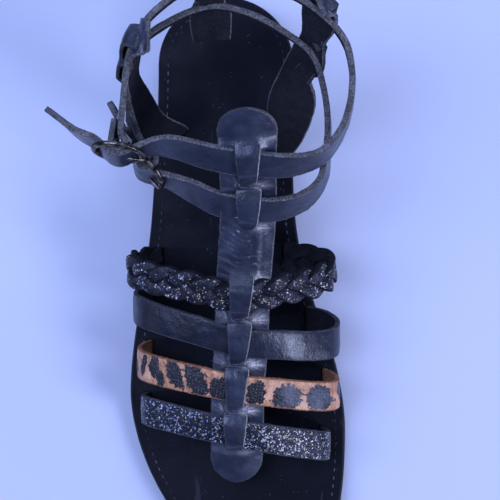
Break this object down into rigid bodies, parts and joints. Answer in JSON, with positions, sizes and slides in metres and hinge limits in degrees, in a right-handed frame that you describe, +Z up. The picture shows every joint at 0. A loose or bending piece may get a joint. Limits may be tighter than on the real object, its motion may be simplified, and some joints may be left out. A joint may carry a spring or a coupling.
{
  "type": "gladiator sandal",
  "caption": "Flat open-toed leather sandal for the right foot, with straps under a cut spine, ankle straps that buckle at the side and a low heel.",
  "frame": {"origin": "on the floor under the middle of the heel, at the centre of the heel's round back", "axes": "+Z up, -Y towards the toe, +X towards the big toe's side"},
  "size_m": [0.1127, 0.2372, 0.1032],
  "materials": {
    "outsole": "matt black rubber",
    "heel": "matt black rubber",
    "footbed": "smooth near-black leather with dust and light wear",
    "upper": "creased black leather, in places with glitter or an animal print",
    "buckle": "antique brass, worn at its edges"
  },
  "bodies": {
    "root": {"outsole": "outsole", "heel": "heel", "footbed": "footbed", "upper": "upper", "buckle_frame_upper": "buckle", "buckle_prong_upper": "buckle", "buckle_frame_lower": "buckle", "buckle_prong_lower": "buckle"}
  },
  "joints": []
}
